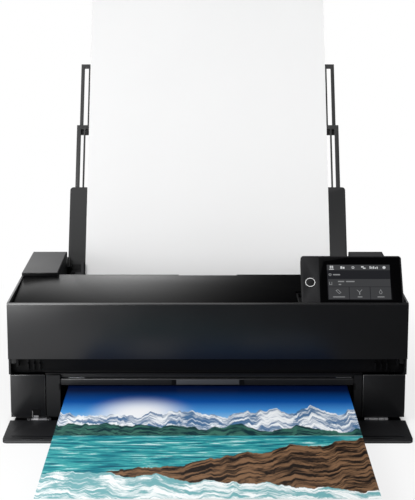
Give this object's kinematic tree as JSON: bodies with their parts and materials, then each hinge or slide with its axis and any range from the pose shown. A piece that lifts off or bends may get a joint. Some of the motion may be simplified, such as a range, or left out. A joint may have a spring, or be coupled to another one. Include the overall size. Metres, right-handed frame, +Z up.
{
  "type": "inkjet printer",
  "caption": "Wide desktop photo inkjet printer with a folding sheet support, tilting touch panel, fold-down front cover and telescoping output tray, shown feeding a sheet.",
  "frame": {"origin": "on the table, under the middle of the whole outline with the support and tray drawn out", "axes": "+Z up, +Y from the front towards the rear support, +X to the right seen from the front"},
  "size_m": [0.615, 1.0836, 0.6272],
  "materials": {
    "case_black": "fine moulded grain",
    "fascia_black": "satin paint over moulding",
    "cover_gloss": "polished smoked acrylic",
    "corner_grey": "fine moulded grain",
    "support_grey": "fine moulded grain",
    "arm_grey": "satin moulded",
    "insert_grey": "satin moulded",
    "panel_strip": "satin moulded",
    "panel_glass": "black backed glass",
    "screen": "lit display",
    "button_white": "lit ring on a black cap",
    "steel": "zinc plated sheet",
    "bright_steel": "ground shaft",
    "aluminium": "drawn",
    "rubber": "matte",
    "paper_white": "satin photo paper",
    "paper_print": "satin photo paper with a printed scene",
    "ink_tank": "moulded",
    "board_green": "solder mask",
    "tube_clear": "flexible tube band"
  },
  "bodies": {
    "case": {"mains_inlet": "case_black", "case_screws": "steel", "base_tray": "case_black", "upper_case": "case_black", "corner_cover_right": "corner_grey", "corner_cover_left": "corner_grey", "feet": "rubber", "left_front_panel": "case_black", "front_band": "case_black", "exit_bar": "case_black", "exit_bar_insert": "insert_grey", "panel_bay": "case_black", "front_cover_hinges": "steel", "hopper_back": "case_black", "paper_guide": "case_black", "main_frame": "steel", "carriage_rail": "steel", "platen": "case_black", "feed_motor": "steel", "feed_belt": "rubber", "carriage_motor": "steel", "carriage_belt": "rubber", "capping_station": "rubber", "ink_bay": "case_black", "ink_cartridges": "ink_tank", "ink_tubes": "tube_clear", "main_board": "board_green", "power_supply": "aluminium"},
    "printer_cover": {"printer_cover": "case_black", "cover_window": "cover_gloss"},
    "ink_cover": {"ink_cover": "fascia_black"},
    "control_panel": {"panel_housing": "panel_strip", "panel_glass": "panel_glass", "lcd_screen": "screen"},
    "home_button": {"home_button": "button_white"},
    "front_cover": {"front_cover": "fascia_black"},
    "tray_stage_1": {"tray_stage_1": "case_black"},
    "tray_stage_2": {"tray_stage_2": "case_black"},
    "tray_stage_3": {"tray_stage_3": "case_black"},
    "support_panel": {"support_panel": "support_grey"},
    "support_arm_lower_left": {"support_arm_lower_left": "arm_grey"},
    "support_arm_lower_right": {"support_arm_lower_right": "arm_grey"},
    "support_arm_upper_left": {"support_arm_upper_left": "arm_grey"},
    "support_arm_upper_right": {"support_arm_upper_right": "arm_grey"},
    "blank_sheet": {"blank_sheet": "paper_white"},
    "printed_sheet": {"printed_sheet": "paper_print"},
    "edge_guide_left": {"edge_guide_left": "arm_grey"},
    "edge_guide_right": {"edge_guide_right": "arm_grey"},
    "carriage": {"carriage": "case_black", "print_head": "steel"},
    "drive_pulley": {"drive_pulley": "aluminium"},
    "idler_pulley": {"idler_pulley": "aluminium"},
    "feed_roller": {"feed_roller": "bright_steel"},
    "eject_roller": {"eject_roller": "rubber"},
    "pinch_rollers": {"pinch_rollers": "rubber"},
    "motor_pulley": {"motor_pulley": "aluminium"},
    "pickup_roller": {"pickup_roller": "rubber"},
    "maintenance_drawer": {"maintenance_box": "insert_grey", "right_front_panel": "case_black"}
  },
  "joints": [
    {"name": "printer_cover_hinge", "type": "hinge", "parent": "case", "child": "printer_cover", "pos_m": [0, 0.11572, 0.19], "axis": [1, 0, 0], "range_deg": [-65, 0]},
    {"name": "ink_cover_hinge", "type": "hinge", "parent": "case", "child": "ink_cover", "pos_m": [0, -0.06128, 0.097], "axis": [-1, 0, 0], "range_deg": [-80, 0]},
    {"name": "control_panel_tilt", "type": "hinge", "parent": "case", "child": "control_panel", "pos_m": [0, -0.06128, 0.1875], "axis": [-1, 0, 0], "range_deg": [-10, 50]},
    {"name": "home_button_press", "type": "slide", "parent": "control_panel", "child": "home_button", "axis": [0, 0.766, -0.6428], "range_m": [0, 0.0008], "stiffness_N_per_m": 1500},
    {"name": "front_cover_fold", "type": "hinge", "parent": "case", "child": "front_cover", "pos_m": [0, -0.06828, 0.005], "axis": [-1, 0, 0], "range_deg": [0, 90], "deforming": ["printed_sheet"]},
    {"name": "tray_stage_1_slide", "type": "slide", "parent": "case", "child": "tray_stage_1", "axis": [0, 1, 0], "range_m": [0, 0.135]},
    {"name": "tray_stage_2_slide", "type": "slide", "parent": "tray_stage_1", "child": "tray_stage_2", "axis": [0, 1, 0], "range_m": [0, 0.135]},
    {"name": "tray_stage_3_slide", "type": "slide", "parent": "tray_stage_2", "child": "tray_stage_3", "axis": [0, 1, 0], "range_m": [0, 0.135]},
    {"name": "support_fold", "type": "hinge", "parent": "case", "child": "support_panel", "pos_m": [0, 0.27672, 0.176], "axis": [1, 0, 0], "range_deg": [0, 119.15], "deforming": ["blank_sheet"]},
    {"name": "support_arm_lower_left_slide", "type": "slide", "parent": "support_panel", "child": "support_arm_lower_left", "axis": [0, 0.4871, 0.8733], "range_m": [-0.123, 0]},
    {"name": "support_arm_upper_left_slide", "type": "slide", "parent": "support_arm_lower_left", "child": "support_arm_upper_left", "axis": [0, 0.4871, 0.8733], "range_m": [-0.123, 0]},
    {"name": "support_arm_lower_right_slide", "type": "slide", "parent": "support_panel", "child": "support_arm_lower_right", "axis": [0, 0.4871, 0.8733], "range_m": [-0.123, 0]},
    {"name": "support_arm_upper_right_slide", "type": "slide", "parent": "support_arm_lower_right", "child": "support_arm_upper_right", "axis": [0, 0.4871, 0.8733], "range_m": [-0.123, 0]},
    {"name": "blank_sheet_lift", "type": "slide", "parent": "case", "child": "blank_sheet", "axis": [0, -0.4871, -0.8733], "range_m": [-0.3, 0]},
    {"name": "printed_sheet_pull", "type": "slide", "parent": "case", "child": "printed_sheet", "axis": [0, 1, 0], "range_m": [-0.4, 0]},
    {"name": "edge_guide_right_slide", "type": "slide", "parent": "case", "child": "edge_guide_right", "axis": [1, 0, 0], "range_m": [-0.165, 0]},
    {"name": "edge_guide_left_slide", "type": "slide", "parent": "case", "child": "edge_guide_left", "axis": [1, 0, 0], "range_m": [0, 0.165]},
    {"name": "carriage_slide", "type": "slide", "parent": "case", "child": "carriage", "axis": [1, 0, 0], "range_m": [-0.492, 0], "deforming": ["ink_tubes"]},
    {"name": "drive_pulley_spin", "type": "hinge", "parent": "case", "child": "drive_pulley", "pos_m": [0.27, 0.10572, 0.14], "axis": [0, 1, 0], "range_deg": [-3600, 0]},
    {"name": "idler_pulley_spin", "type": "hinge", "parent": "case", "child": "idler_pulley", "pos_m": [-0.27, 0.10572, 0.14], "axis": [0, 1, 0], "range_deg": [-3600, 0]},
    {"name": "feed_roller_spin", "type": "hinge", "parent": "case", "child": "feed_roller", "pos_m": [0, 0.11672, 0.0473], "axis": [1, 0, 0], "continuous": true},
    {"name": "eject_roller_spin", "type": "hinge", "parent": "case", "child": "eject_roller", "pos_m": [0, -0.01328, 0.0513], "axis": [1, 0, 0], "continuous": true},
    {"name": "pinch_rollers_spin", "type": "hinge", "parent": "case", "child": "pinch_rollers", "pos_m": [0, 0.11672, 0.0623], "axis": [1, 0, 0], "continuous": true},
    {"name": "motor_pulley_spin", "type": "hinge", "parent": "case", "child": "motor_pulley", "pos_m": [0, 0.15272, 0.04], "axis": [1, 0, 0], "continuous": true},
    {"name": "pickup_roller_spin", "type": "hinge", "parent": "case", "child": "pickup_roller", "pos_m": [0, 0.26073, 0.14713], "axis": [1, 0, 0], "continuous": true},
    {"name": "maintenance_drawer_slide", "type": "slide", "parent": "case", "child": "maintenance_drawer", "axis": [0, 1, 0], "range_m": [-0.12, 0]}
  ],
  "couplings": [
    {"joint": "support_arm_lower_left_slide", "follows": "support_fold", "m_per_rad": -0.058907},
    {"joint": "support_arm_upper_left_slide", "follows": "support_fold", "m_per_rad": -0.058907},
    {"joint": "support_arm_lower_right_slide", "follows": "support_fold", "m_per_rad": -0.058907},
    {"joint": "support_arm_upper_right_slide", "follows": "support_fold", "m_per_rad": -0.058907},
    {"joint": "edge_guide_left_slide", "follows": "edge_guide_right_slide", "ratio": -1},
    {"joint": "drive_pulley_spin", "follows": "carriage_slide", "rad_per_m": 125},
    {"joint": "idler_pulley_spin", "follows": "carriage_slide", "rad_per_m": 125},
    {"joint": "eject_roller_spin", "follows": "feed_roller_spin", "ratio": 1.6667},
    {"joint": "pinch_rollers_spin", "follows": "feed_roller_spin", "ratio": -2.5},
    {"joint": "motor_pulley_spin", "follows": "feed_roller_spin", "ratio": 2}
  ]
}
